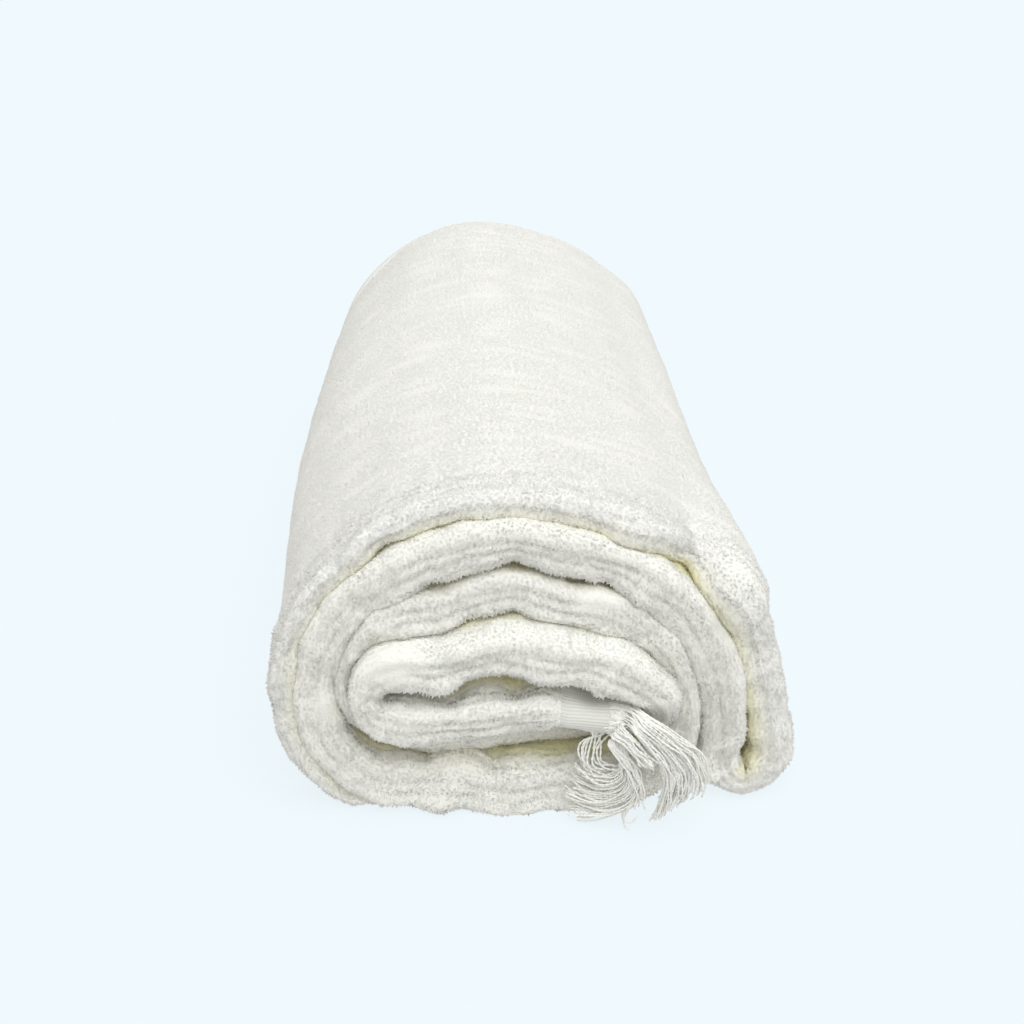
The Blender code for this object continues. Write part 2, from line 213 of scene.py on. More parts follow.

# Creases, nicks and lumps placed one by one, in mm.
# place, x and z of the path there, around, reach along the run, reach around, height
CREASES = (
    ("third roof, left lump", -53, 112.5, -9, 7, 8, 2),
    ("third roof, left nick", -41, 119.4, -9, 5, 8, -2.8),
    ("third roof, tent nick", -6, 127.8, -9, 4, 8, -1.8),
    ("third roof, right nick", 30.5, 116, -9, 5, 8, -2.8),
    ("third roof, right lump", 45, 107.5, -9, 7, 8, 2.2),
    ("third roof, dimple", 18, 120.5, 4, 9, 6, -1.2),
    ("third roof, swell", -18, 126, 3, 10, 7, 1),
    ("second roof, left lump", -48, 97.2, -9, 8, 8, 2.6),
    ("second roof, left nick", -26, 102.5, -9, 5, 8, -2.2),
    ("second roof, middle lump", 7, 102, -9, 8, 8, 1.4),
    ("second roof, right lump", 33, 94, -9, 7, 8, 2.2),
    ("core roof, left lump", -35, 80.2, -9, 5, 8, 2.2),
    ("core roof, left nick", -25, 82.3, -9, 5, 8, -0.8),
    ("core floor, thin underneath", -2, 54.4, 10, 30, 8, -3),
    ("core roof, thin over the slit", -6, 85, -10, 12, 7, -2),
    ("core roof, middle lump", 6.5, 82, -9, 8, 8, 2),
    ("core roof, right lump", 29, 76.5, -9, 6, 8, 1.8),
    ("outer roof, left nick", -56, 129, 6, 6, 7, -2),
    ("outer roof, right nick", 26, 135, 6, 6, 7, -1.6),
    ("outer roof, right lump", 36, 131.5, 6, 6, 7, 1.2),
    ("outer roof, middle droop", 0, 142, 8, 22, 8, 1.8),
    ("outer roof, right droop", 40, 129.5, 8, 16, 8, 2.6),
    ("third floor, hem droop", -37, 14, 8, 11, 7, 6.4),
    ("third floor, tuck droop", -58, 16, 8, 9, 7, 3),
    ("turn back, left hollow", 79.5, 22, 6, 7, 10, -2.2),
    ("turn back, right hollow", 99.5, 24, 6, 7, 10, -2.4),
    ("pinch, mouth", 61.6, 114.8, 2, 5, 10, -3.4),
    ("pinch, valley", 61.6, 114.8, -16, 5.5, 18, -3.2),
    ("pinch, ridge", 70, 108.6, -8, 6, 18, 2.6),
    ("turn back, slack bend", 89, 8.3, 14, 9, 12, -1.6),
    ("slit, left hollow", -31, 53.7, -15, 6, 7, -3),
    ("slit, middle hollow", -6, 54.4, -15, 5, 7, -3),
    ("slit, right hollow", 22, 53, -15, 5, 7, -1.6),
    ("slit floor, left rise", -49, 53, -24, 8, 11, 3.8),
    ("slit floor, middle rise", -19, 54.4, -24, 8, 11, 4),
    ("slit floor, right rise", 8, 54.4, -24, 8, 11, 4),
    ("slit roof, left droop", -47, 79.8, -26, 9, 10, 3.8),
    ("slit roof, middle droop", -19, 83.4, -27, 8, 10, 6),
    ("slit roof, third droop", 7, 82, -27, 8, 10, 6),
    ("slit roof, right droop", 37, 71.4, -26, 9, 10, 3.4),
    ("right flank, crease", 83, 88, -4, 3.5, 12, -1.6),
    ("right flank, bulge", 90.5, 66, -4, 9, 14, 1),
    ("turn back, bulge", 99, 22, -8, 14, 16, 2.6),
    ("right shoulder, bulge", 77, 100, -34, 17, 42, 4.6),
    ("left flank, full middle", -96, 76, -130, 48, 80, 3.6),
    ("left shoulder, full middle", -74, 114, -170, 40, 70, 2.4),
    ("back, left shoulder", -74, 114, -330, 30, 30, -3),
    ("third floor, corner lump", -56, 16, -9, 9, 8, 2.6),
    ("third floor, left lump", -30, 14, -9, 11, 8, 3.4),
    ("third floor, pocket", -43, 14.3, -14, 4, 7, -2.4),
    ("third floor, middle lump", -4, 9.7, -9, 10, 9, 3.6),
    ("third floor, nick", -17, 10, -10, 4, 7, -1.6),
    ("third floor, right lump", 20, 9.7, -8, 9, 9, 3.4),
    ("third floor, low lump", -8, 9.7, 3, 8, 6, 1.4),
    ("third floor, low swell", 6, 9.7, 6, 34, 7, 2.4),
    ("second floor, left swell", -28, 34, 2, 22, 12, 4),
    ("second floor, right swell", 12, 33.4, 2, 20, 12, 4),
    ("second floor, left lump", -40, 34, 3, 8, 8, 1.6),
)

# Places where the pile is pressed flat, in mm.
# place, x and z of the path there, around, reach along the run, reach around
PRESSED = (
    ("core roof, left", -50, 79.6, 4, 10, 8),
    ("core floor, right", 14, 54.3, -3, 8, 9),
    ("second roof, right", 22, 98, 5, 8, 6),
    ("third left flank", -82, 60, -3, 10, 5),
)

# The pile's height, as shares of its length
PILE_ROWS = 0.35  # of the rows of loops, on the folds
PILE_KNOBS = 0.45  # and of the knobs
KNOB_MIDDLE = 0.5
KNOB_SIZE = 1.2
OUTSIDE_KNOBS = 0.12  # the knobs on the roll's outside
OUTSIDE_STEP = (14 * MM, 30 * MM)  # where the folds' pile gives way to the outside's
SHAGGY_EDGE = (-9 * MM, 3 * MM, 0.6)  # where it stands taller under each fold, reach and height
LEAST_PILE = 0.3
PRESSED_BY = 0.75  # less where it is pressed

# Wavy bands of the roll's outside, by which the pile's roots rise and sink
BAND_LIFT = 0.26 * MM
BAND_CREST = 0.95
SLOPE_STEP = 0.4 * MM  # at which the slope of the pile's top is read

# Where tufts stand. A pair gives a range of arounds.
SCATTER = (0.5, 0.4)  # of a tuft along the run and around, as shares of the pitch
SELVEDGE_BARE = 2.5 * MM  # strips without pile
HEM_BARE = 2 * MM
FLOOR_CLEAR = 0.4 * MM  # lower than this, no tuft stands on a side that faces down
FLOOR_FACING = -0.5
ON_FOLDS = (-26 * MM, 16 * MM)
ABOVE_FOLDS = (16 * MM, 34 * MM)
BELOW_FOLDS = (-34 * MM, -19 * MM)
ON_OUTSIDE = (-352 * MM, -12 * MM)
OUTSIDE_BLEND = (12 * MM, 26 * MM)
UPPER_SELVEDGE = (330 * MM, 352 * MM)
LOWER_SELVEDGE = (-348 * MM, -326 * MM)

# The pieces of pile: pitch, radius and length of the tufts, in mm, their lean and the seed
PILES = {
    "pile_fronts": (1.02, 0.78, 0.72, 0.5, 42),
    "pile_gaps": (1.7, 0.85, 0.9, 0.5, 45),
    "pile_outside_right": (1.42, 1.1, 0.42, 0.3, 48),
    "pile_outside_left": (1.42, 1.1, 0.42, 0.3, 49),
    "pile_back": (1.9, 1.5, 0.6, 0.3, 56),
}

# A tuft
TUFT_SIDES = 3
TUFT_FACES = ((0, 1, 2), (0, 2, 3), (0, 3, 1), (1, 3, 2))
ROOT_DEPTH = 0.3 * MM
FLOW_SPREAD = 0.7  # of the way in which neighbours lean
LEAN_SPREAD = 0.2
LEAN_LIMITS = (0.05, 1.25)
LENGTHS = (0.75, 1.25)
WIDTHS = (0.8, 1.2)
TIP_LEANING = 0.25  # how far the tip's shading follows the tuft's lean
BASE_SPREADING = 0.28  # and the base's shading its side

# The fringe, of warp ends left loose past the border
YARN_STEPS = 54
PLY_SIDES = 4
PLY_RADIUS = 0.26 * MM
PLY_APART = 0.21 * MM  # of each of the two plies from the yarn's middle
YARN_TURN = 4.5 * MM  # length of a turn of the twist
YARN_RADIUS = 0.48 * MM
TIP_TAPER = 0.7  # a ply's thickness at its tip, as a share
ROOT_LENGTH = 5 * MM  # of yarn that lies on the border
ROOT_LIFT = 0.7 * MM
ROOT_SCATTER = 0.6  # in mm
GATHER_POWER = 1.3  # above 1, a yarn nears its lock late
GATHER_BY = (0.55, 0.95)  # how near they come to their lock's end, as a share
LOOSE_POWER = 1.5
LOOSE = (0.99 * MM, 0.88 * MM, 0.99 * MM)  # scatter of a tip in x, y and z
STRAY = (2.34 * MM, 2.08 * MM, 2.34 * MM)  # and of a stray yarn's tip
STRAY_CHANCE = 0.16
KINK = 0.4 * MM
SHORTEST = 0.14  # share of its route by which the shortest yarn stops early
WAVE_HEIGHT = 0.35 * MM
WAVES = 3.2  # along a yarn

# Its bundles, lengths in mm: yarns, the arounds of their roots on the border, the runs of those roots, the
# bundle's depth, locks that it gathers into, and the seed
BUNDLES = {
    "right sheet": (56, (-13, -1), (1, 9), 3.4, 9, 71),
    "middle band": (12, (-3, 2), (4, 13), 1.6, 3, 72),
    "falling": (14, (0, 4), (2, 8), 1.6, 3, 73),
    "swirl": (62, (2, 8), (1, 7), 2.8, 9, 74),
    "under": (9, (6, 10), (9, 20), 1.4, 4, 75),
    "hook": (3, (1, 3), (2, 6), 0.6, 1, 76),
}

# Routes that a bundle's yarns follow from the border to their tips, each as points x, y, z in mm.
# The yarns between two routes blend from one to the next.
ROUTES = {
    "right sheet": (
        ((43.5, -180, 58.8), (50.2, -182.5, 55), (57.6, -183.5, 49.4), (63.2, -183, 43.6),
         (66.9, -183, 34.9), (68, -182, 27.6), (68, -181, 20.7)),
        ((41.4, -181, 58.4), (47, -183.5, 54), (54.2, -184.5, 48), (60, -184.5, 41.6), (63.6, -184, 32.3),
         (64.2, -182.5, 24), (63.5, -181, 16.6)),
        ((39, -182, 57.6), (44, -184.2, 53.4), (50.6, -185.2, 46.8), (55.9, -185, 38.4), (58.8, -184, 28.8),
         (58.7, -182, 19.5), (57.6, -180, 12.7)),
        ((37.6, -182.8, 56.4), (41.2, -184.6, 52.4), (46.8, -185.6, 46), (51.6, -185.5, 37.6),
         (53.4, -184, 27.5), (53.4, -181.5, 17.1), (52.4, -179, 7.5)),
        ((37, -183, 55.5), (39.6, -184.8, 52.6), (44, -185.5, 46.4), (48.8, -185.5, 38.5), (50.9, -184, 29.2),
         (50.4, -181, 15.1), (47.7, -178, 1.7)),
    ),
    "middle band": (
        ((33, -182, 57), (36.4, -184.5, 54), (40, -186, 49.5), (44, -187, 43.7), (47.3, -187, 40)),
        ((29, -183, 52), (32.5, -184.8, 50.5), (36.5, -186, 47), (41, -187, 42.8), (45, -187, 40.1)),
    ),
    "falling": (
        ((31, -182, 50), (34, -183.4, 44.6), (37.4, -184, 39.2), (40.9, -184, 31.8), (43.3, -182.5, 22.3),
         (44.2, -181, 13.2)),
        ((28.5, -181.5, 48.6), (31, -183, 43.6), (34.8, -183.5, 38.3), (37.9, -183.5, 31.4),
         (40.6, -182, 22.5), (40.8, -180.5, 14.5)),
    ),
    "swirl": (
        ((30.5, -181.6, 47.6), (32.6, -182, 42.8), (33.9, -181.5, 38.1), (32.4, -180.5, 31.5),
         (27.8, -178, 27.2), (22.9, -175, 27.8), (19.4, -173, 31.9)),
        ((32, -181.4, 47), (34.9, -182, 41.1), (36.7, -182, 35.3), (34.6, -180.5, 26.1), (29.2, -178, 20.7),
         (22.4, -175, 19.8), (16.4, -173, 23.5)),
        ((33.5, -181.2, 46.6), (36.5, -182, 39.4), (39.2, -182.5, 32), (37.5, -181, 22.2), (31.1, -178, 15.2),
         (23, -175, 13.8), (14.6, -172.5, 19.9)),
        ((34.6, -181, 46.2), (37.7, -182, 37.8), (41.3, -182.5, 28.2), (39.8, -181, 17.8), (32, -178.5, 10.8),
         (22.7, -176, 8.7), (14, -173, 9.5)),
        ((35.4, -180.8, 45.6), (38.6, -182, 36.8), (42.3, -182.5, 25.5), (39.7, -180.5, 13.5),
         (31.4, -178.5, 6.9), (23.5, -177, 4.1), (17.2, -176, 2.3)),
    ),
    "under": (
        ((17.9, -174, 41.7), (18.1, -175, 36.7), (20.1, -176, 31.2), (24.4, -176.5, 27.6),
         (29.1, -177, 26.2)),
        ((23, -174, 41.4), (22, -175.5, 36.4), (23.4, -176.5, 31.9), (26.5, -177.5, 29.4),
         (31.2, -178.5, 29.6)),
        ((27.2, -174.6, 41), (26.6, -176.5, 36.5), (28.8, -177.6, 33.1), (31.7, -178.5, 34.3),
         (34.5, -179.5, 38.2)),
    ),
    "hook": (
        ((35, -182, 45), (40, -182.6, 36), (42.5, -182, 23.5), (41, -181.5, 16.6), (38.4, -181, 10.5),
         (37.6, -180.5, 4.9), (40.4, -181, 1.6), (43.6, -182, 3.4)),
    ),
}

# Colours, with both ends of an uneven tone
COTTON = ((0.955, 0.948, 0.895, 1), (0.985, 0.98, 0.937, 1))
# Painted shade: the creamy tint laid between the turns in place of the warm shade there
PAINTED_SHADE_TINT = (0.99, 0.935, 0.60, 1)
PLAIN_WEAVE = ((0.72, 0.72, 0.69, 1), (0.80, 0.80, 0.77, 1))
FRINGE_COTTON = ((0.94, 0.94, 0.91, 1), (0.985, 0.985, 0.965, 1))

# Settings of the shaders
COTTON_FINISH = {
    "Roughness": 0.95,
    "Specular IOR Level": 0.2,
    "Sheen Weight": 0.2,
    "Sheen Roughness": 0.6,
    "Subsurface Weight": 0.5,
    "Subsurface Radius": (1.0, 0.95, 0.85),
    "Subsurface Scale": 1.3 * MM,
}
YARN_FINISH = {"Roughness": 0.8, "Specular IOR Level": 0.3, "Sheen Weight": 0.2}
GRAIN_HEIGHT = 0.6 * MM  # of the finest bumps
PILE_GRAIN = 0.1  # their strength on the pile
GROUND_GRAIN = 0.5

GRAIN = (900, 2)  # hills to a metre, and detail
WARP_DRIFT = 6  # by which the border's lines stray, in radians of their wave

# Stage
FLOOR_SIZE = 60
FLOOR_LEVEL = -0.2 * MM
FLOOR_COLOUR = (0.14, 0.15, 0.155, 1)
FLOOR_FINISH = {"Emission Strength": 1, "Roughness": 1, "Specular IOR Level": 0}
FLOOR_GLOW = (0.56, 0.56, 0.54, 1)  # on the towel
FLOOR_SEEN = (0.722, 0.787, 0.822, 1)  # and to the camera
SKY = (1.0, 0.962, 0.892, 1)
SKY_STRENGTH = 0.54
SUN_COLOUR = (0.965, 0.998, 1.0)
SUN_STRENGTH = 1.92
SUN_WIDTH = 60  # degrees
SUN_TURN = (26, 4, 6)  # degrees
IMAGE_WIDTH = 1024  # pixels
FOCAL_LENGTH = 1100  # pixels
SENSOR_WIDTH = 36
CAMERA_PLACE = (-0.024, -0.500, 0.3353)
CAMERA_TURN = (60, 0, -2.8)  # degrees


def natural_spline(knots, values, at):
    """The natural cubic spline through values at knots, read at the places in at."""
    count = len(knots)
    gaps = np.diff(knots)
    slopes = np.diff(values, axis=0) / gaps[:, None]
    system = np.eye(count)
    right = np.zeros_like(values)
    for i in range(1, count - 1):
        system[i, i - 1 : i + 2] = gaps[i - 1], 2 * (gaps[i - 1] + gaps[i]), gaps[i]
        right[i] = 6 * (slopes[i] - slopes[i - 1])
    bends = np.linalg.solve(system, right)
    i = np.clip(np.searchsorted(knots, at, side="right") - 1, 0, count - 2)
    gap = gaps[i][:, None]
    past = (at - knots[i])[:, None]
    left = gap - past
    cubic = (bends[i] * left**3 + bends[i + 1] * past**3) / (6 * gap)
    low = (values[i] / gap - bends[i] * gap / 6) * left
    high = (values[i + 1] / gap - bends[i + 1] * gap / 6) * past
    return cubic + (low + high)


def cloth_path():
    """The path, read closely: the run at each place, its columns there, and the runs of the tables' rows.

    The columns are x, z, half, leaf, forward, normal x, normal z and bend.
    """
    rows = np.array([row[1:] for row in PATH_ROWS], float) * MM
    chords = np.hypot(*np.diff(rows[:, :2], axis=0).T)
    knots = np.concatenate([[0], np.cumsum(chords)])
    places = np.linspace(0, knots[-1], round(knots[-1] / PATH_STEP) + 1)
    stations = natural_spline(knots, rows, places)
    steps = np.gradient(stations[:, :2], axis=0)
    lengths = np.hypot(*steps.T)
    heading = steps / lengths[:, None]
    run = np.concatenate([[0], np.cumsum(np.hypot(*np.diff(stations[:, :2], axis=0).T))])
    turning = np.hypot(*np.gradient(heading, axis=0).T) / lengths
    columns = np.column_stack([stations, -heading[:, 1], heading[:, 0], turning])
    return run, columns, np.interp(knots, places, run)


PATH_RUN, PATH_COLUMNS, ROW_RUNS = cloth_path()
WHOLE_RUN = PATH_RUN[-1]
OUTER_START = ROW_RUNS[len(CORE + SECOND_TURN + THIRD_TURN)]
TURN_STARTS = (-1, ROW_RUNS[len(CORE)], ROW_RUNS[len(CORE + SECOND_TURN)], OUTER_START)


def path_at(run):
    """The path's columns at these runs."""
    return [np.interp(run, PATH_RUN, column) for column in PATH_COLUMNS.T]


def shaped(x, y, z):
    """Points of the plain roll moved to the real one, whose section changes along it and which lies flat."""
    rows = np.array([row[1:] for row in ALONG], float)
    shares = natural_spline(rows[:, 0] * MM, rows[:, 1:], y.ravel()).reshape(*y.shape, 3)
    wide = np.where(x < 0, shares[..., 0], shares[..., 1])
    return np.stack([x * wide, y, np.maximum(z * shares[..., 2], 0)], axis=-1)


def noise(u, v, seed):
    """Smooth noise of about -1 to 1 whose hills and hollows are about 1 apart."""
    size = 256
    angles = np.random.default_rng(seed).uniform(0, 2 * math.pi, (size, size))
    column, row = np.floor(u).astype(int), np.floor(v).astype(int)
    past_u, past_v = u - column, v - row

    def corner(du, dv):
        angle = angles[(column + du) % size, (row + dv) % size]
        return np.cos(angle) * (past_u - du) + np.sin(angle) * (past_v - dv)

    ease_u = past_u**3 * (past_u * (past_u * 6 - 15) + 10)
    ease_v = past_v**3 * (past_v * (past_v * 6 - 15) + 10)
    low = corner(0, 0) * (1 - ease_u) + corner(1, 0) * ease_u
    high = corner(0, 1) * (1 - ease_u) + corner(1, 1) * ease_u
    return 1.5 * (low * (1 - ease_v) + high * ease_v)


def unit(vectors):
    """The same directions with a length of 1."""
    return vectors / np.maximum(np.linalg.norm(vectors, axis=-1, keepdims=True), 1e-12)


def lengths_along(points):
    """How far along a line each of its points lies."""
    return np.concatenate([[0], np.cumsum(np.linalg.norm(np.diff(points, axis=0), axis=1))])


def ease(value, low, high):
    """0 below low, 1 above high, and a soft step between them."""
    share = np.clip((value - low) / (high - low), 0, 1)
    return share * share * (3 - 2 * share)


def around_end(run, side):
    """How far round the cloth goes to the selvedge, on side 1 or -1."""
    half = path_at(run)[2]
    body = half - inset_at(run)
    width = np.where(side > 0, FOLDED_WIDTH, FOLDED_WIDTH - SELVEDGE_STEP)
    return body * math.pi / 2 + width - half


def inset_at(run):
    """How far the ground cloth lies inside the outline: the pile's height, and little on the border."""
    terry = ease(run, BORDER + INSET_STEP[0], BORDER + INSET_STEP[1])
    return PILE * (BORDER_INSET + (1 - BORDER_INSET) * terry)


def run_of(x, z):
    """The run of the path's place nearest to x, z."""
    return PATH_RUN[np.argmin(np.hypot(PATH_COLUMNS[:, 0] - x, PATH_COLUMNS[:, 1] - z))]


def hidden(run, around):
    """1 between the turns and 0 on the roll's outside."""
    return np.where((run > OUTER_START) & (around < 0), 0.0, 1.0)


def noise_on(run, around, along, across, seed):
    """Smooth noise on the cloth, with hills of these lengths in mm."""
    return noise(run / (along * MM), around / (across * MM), seed)


def hump(around, middle, reach, height):
    """A smooth hump round a fold."""
    return height * np.exp(-(((around - middle) / reach) ** 2))


def away_from(run, around, place):
    """The square of how far each point is from a listed place, as a share of the place's reach."""
    x, z, at_around, along, across = place
    by_run = (run - run_of(x * MM, z * MM)) / (along * MM)
    by_around = (around - at_around * MM) / (across * MM)
    return by_run**2 + by_around**2


def loop_rows(run, around):
    """The rows of loops, which run along the path: -1 to 1, strong in some patches and faint in others."""
    wobble = ROW_WOBBLE * noise_on(run, around, *WOBBLE)
    patches = np.clip(ROW_MIDDLE + ROW_RANGE * noise_on(run, around, *PATCHES), ROW_LEAST, 1)
    return np.cos(2 * math.pi * (around / ROW_PITCH + wobble)) * patches


def relief(run, around):
    """How far the ground cloth stands out of its plain form."""
    run, around = np.broadcast_arrays(run, around)
    off = np.abs(around)
    terry = ease(run, BORDER, BORDER + TERRY_STEP)
    front = 1 - ease(off, *FRONT_FADE)
    total = np.zeros(run.shape)
    for near, far, along, across, seed in SWELLS:
        height = (far + (near - far) * front) * MM
        total += height * noise_on(run, around, along, across, seed)
    total += ROW_HEIGHT * loop_rows(run, around) * (1 - ease(off, *ROWS_FADE))
    total *= (BORDER_RELIEF + (1 - BORDER_RELIEF) * terry) * (1 - ease(off, *SELVEDGE_FADE))
    rise = GAP_RISE * ease(off, *GAP_STEP)
    rise += NEAR_RISE * ease(off, *NEAR_STEP) * (1 - ease(off, *NEAR_FADE))
    rise += hump(off, *SHOULDER)
    total += rise * terry * hidden(run, around)
    for _, *place, height in CREASES:
        total += height * MM * np.exp(-away_from(run, around, place))
    return total


def skin(run, around):
    """Points on the ground cloth's outside."""
    x, z, half, _, forward, normal_x, normal_z, _ = path_at(run)
    body = half - inset_at(run)
    turn = np.clip(around / body, -math.pi / 2, math.pi / 2)
    straight = np.maximum(np.abs(around) - body * math.pi / 2, 0)
    out = body + relief(run, around)
    across = out * np.sin(turn)
    depth = half - out * np.cos(turn) + straight
    return shaped(x + normal_x * across, FRONT - forward + depth, z + normal_z * across)


def ring_runs():
    """Where the mesh has its rings: evenly, and closer where the path bends."""
    density = 1 / RING_PITCH + PATH_COLUMNS[:, 7] / RING_TURN
    counted = np.concatenate([[0], np.cumsum((density[1:] + density[:-1]) / 2 * np.diff(PATH_RUN))])
    return np.interp(np.linspace(0, counted[-1], round(counted[-1]) + 1), counted, PATH_RUN)


def ring_arounds(run):
    """The arounds of a ring's points on the outside, from one selvedge to the other."""
    near = np.linspace(NEAR, -NEAR, NEAR_POINTS)[None, :].repeat(len(run), axis=0)
    sides = []
    for side, points, spread in ((1, INNER_POINTS, INNER_SPREAD), (-1, OUTER_POINTS, 1)):
        shares = np.linspace(1, 0, points, endpoint=False) ** spread
        end = around_end(run, side) - SELVEDGE_ROUND
        sides.append(side * (NEAR + (end[:, None] - NEAR) * shares[None, :]))
    return np.hstack([sides[0], near, sides[1][:, ::-1]])


def lining_points(run, side):
    """A selvedge's round edge and the leaf's inner face, as (ring, point, xyz), from the edge to the fold."""
    x, z, half, leaf, forward, normal_x, normal_z, _ = path_at(run)
    inset = inset_at(run)
    body = half - inset
    thick = np.minimum(leaf, half - MIDDLE_GAP / 2) - inset
    inner = body - thick
    end = (FOLDED_WIDTH if side > 0 else FOLDED_WIDTH - SELVEDGE_STEP) - SELVEDGE_ROUND
    acrosses, depths = [], []
    for i in range(1, EDGE_POINTS + 1):
        turn = math.pi * i / (EDGE_POINTS + 1)
        acrosses.append(body - thick / 2 + thick / 2 * math.cos(turn))
        depths.append(end + SELVEDGE_ROUND * math.sin(turn) * np.ones_like(run))
    for share in (1.0,) + LINING_SHARES:
        acrosses.append(inner)
        depths.append(half + (end - half) * share)
    across = side * np.stack(acrosses, axis=1)
    depth = np.stack(depths, axis=1)
    x = x[:, None] + normal_x[:, None] * across
    z = z[:, None] + normal_z[:, None] * across
    return shaped(x, FRONT - forward[:, None] + depth, z)


def new_mesh(name, points, faces, material, normals=None, uvs=None, warm=None):
    """An object of these points and faces, which rides on the roll's one body."""
    mesh = bpy.data.meshes.new(name)
    points = np.asarray(points, np.float32)
    if isinstance(faces, list):
        sizes = np.array([len(face) for face in faces])
        corners = np.concatenate([np.asarray(face) for face in faces])
    else:
        sizes = np.full(len(faces), faces.shape[1])
        corners = faces.ravel()
    mesh.vertices.add(len(points))
    mesh.vertices.foreach_set("co", points.ravel())
    mesh.loops.add(len(corners))
    mesh.loops.foreach_set("vertex_index", corners.astype(np.int32))
    mesh.polygons.add(len(sizes))
    starts = np.cumsum(sizes) - sizes
    mesh.polygons.foreach_set("loop_start", starts.astype(np.int32))
    mesh.update(calc_edges=True)
    mesh.validate()
    if uvs is not None:
        layer = mesh.uv_layers.new(name="cloth")
        layer.data.foreach_set("uv", np.asarray(uvs, np.float32)[corners].ravel())
    # the painted warm shade's share, kept on each point
    if warm is not None:
        layer = mesh.attributes.new(name="painted_shade", type="FLOAT", domain="POINT")
        layer.data.foreach_set("value", np.asarray(warm, np.float32))
    mesh.shade_smooth()
    if normals is not None:
        mesh.normals_split_custom_set_from_vertices(normals.tolist())
    mesh.materials.append(material)
    piece = bpy.data.objects.new(name, mesh)
    bpy.context.scene.collection.objects.link(piece)
    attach(piece, "root")
    return piece


def tube_faces(rings, sides):
    """Quads that join rings of points, each with this many sides."""
    ring = np.arange(rings - 1)[:, None] * sides
    side = np.arange(sides)[None, :]
    after = (side + 1) % sides
    quads = np.stack([ring + side, ring + after, ring + sides + after, ring + sides + side], axis=-1)
    return quads.reshape(-1, 4)


def cloth_grid():
    """The rings' runs, the arounds of each ring's points on the outside, and those points."""
    run = ring_runs()
    arounds = ring_arounds(run)
    return run, arounds, skin(run[:, None], arounds)


def make_cloth(grid, material):
    """The ground cloth: a closed sheet on the towel's folds, with its two leaves a little apart."""
    run, arounds, outside = grid
    upper = lining_points(run, 1)
    lower = lining_points(run, -1)
    rings = np.concatenate([outside, lower, upper[:, ::-1]], axis=1)
    sides = rings.shape[1]
    quads = tube_faces(len(run), sides)
    faces = quads[:, ::-1].tolist()
    last = (len(run) - 1) * sides
    faces.append(range(sides))
    faces.append(range(last + sides - 1, last - 1, -1))
    uvs = np.zeros((len(run), sides, 2))
    uvs[..., 0] = run[:, None]
    uvs[:, : arounds.shape[1], 1] = arounds
    uvs[:, arounds.shape[1] :, 1] = LINING_AROUND
    # painted warm shade between the turns, on the ground cloth
    warm = painted_shade(uvs[..., 0], uvs[..., 1])
    points = rings.reshape(-1, 3)
    return new_mesh("towel_cloth", points, faces, material, uvs=uvs.reshape(-1, 2), warm=warm.ravel())


def grid_columns(arounds, ring, around):
    """The column of a ring's points at which each around lies, with its fraction."""
    inner_end, outer_end = arounds[ring, 0], -arounds[ring, -1]
    inner = np.clip((around - NEAR) / (inner_end - NEAR), 0, 1) ** (1 / INNER_SPREAD)
    outer = np.clip((-around - NEAR) / (outer_end - NEAR), 0, 1)
    near = np.clip((NEAR - around) / (2 * NEAR), 0, 1)
    return INNER_POINTS * (1 - inner) + (NEAR_POINTS - 1) * near + OUTER_POINTS * outer


def grid_frame(grid, run, around):
    """Points on the cloth's own mesh, with the normal and the two tangents there."""
    rings, arounds, outside = grid
    along = np.gradient(outside, axis=0)
    normal = unit(-np.cross(along, np.gradient(outside, axis=1)))
    place = np.clip(np.interp(run, rings, np.arange(len(rings))), 0, len(rings) - 1.001)
    ring = place.astype(int)
    past = place - ring
    column = grid_columns(arounds, ring, around) * (1 - past) + grid_columns(arounds, ring + 1, around) * past
    column = np.clip(column, 0, arounds.shape[1] - 1.001)
    point = column.astype(int)
    over = (column - point)[:, None]
    past = past[:, None]

    def read(values):
        low = values[ring, point] * (1 - over) + values[ring, point + 1] * over
        high = values[ring + 1, point] * (1 - over) + values[ring + 1, point + 1] * over
        return low * (1 - past) + high * past

    normal, along = unit(read(normal)), read(along)
    along = unit(along - normal * (along * normal).sum(axis=1, keepdims=True))
    return read(outside), normal, along, np.cross(normal, along)


def scattered(run_range, around_range, pitch, seed):
    """Places in rows a pitch apart, each moved a little at random."""
    draw = np.random.default_rng(seed)
    runs = np.arange(*run_range, pitch)
    arounds = np.arange(*around_range, pitch)
    run, around = (places.ravel() for places in np.meshgrid(runs, arounds))
    run = run + draw.uniform(-SCATTER[0], SCATTER[0], run.shape) * pitch
    around = around + draw.uniform(-SCATTER[1], SCATTER[1], run.shape) * pitch
    return np.clip(run, 0, WHOLE_RUN), around


def thinned(run, around, side, seed):
    """Those places left where the folds' pile, side 1, and the outside's, side -1, fade into each other."""
    chance = np.random.default_rng(seed).uniform(0, 1, run.shape)
    outside = ease(-around, *OUTSIDE_BLEND)
    inner = (run < OUTER_START) & (around < BELOW_FOLDS[1])
    kept = chance < (outside if side < 0 else np.where(inner, 0, 1 - outside))
    return run[kept], around[kept]


def pressed(run, around):
    """1 where the pile is pressed flat, and 0 elsewhere."""
    total = np.zeros(run.shape)
    for _, *place in PRESSED:
        total = np.maximum(total, np.exp(-away_from(run, around, place) ** 2))
    return total


def painted_shade(run, around):
    """Share of painted warm shade: a little on the folds' fronts, 1 between the turns and 0 on the outside.
    """
    turn = np.searchsorted(TURN_STARTS, run) - 1
    starts = np.where(around > 0, np.take(PAINTED_SHADE_ABOVE, turn), np.take(PAINTED_SHADE_BELOW, turn))
    deep = ease(np.abs(around), starts, starts + PAINTED_SHADE_STEP) * (1 - ease(np.abs(around), *PAINTED_SHADE_FADE))
    return (PAINTED_SHADE_ON_FRONTS + (1 - PAINTED_SHADE_ON_FRONTS) * deep) * hidden(run, around)


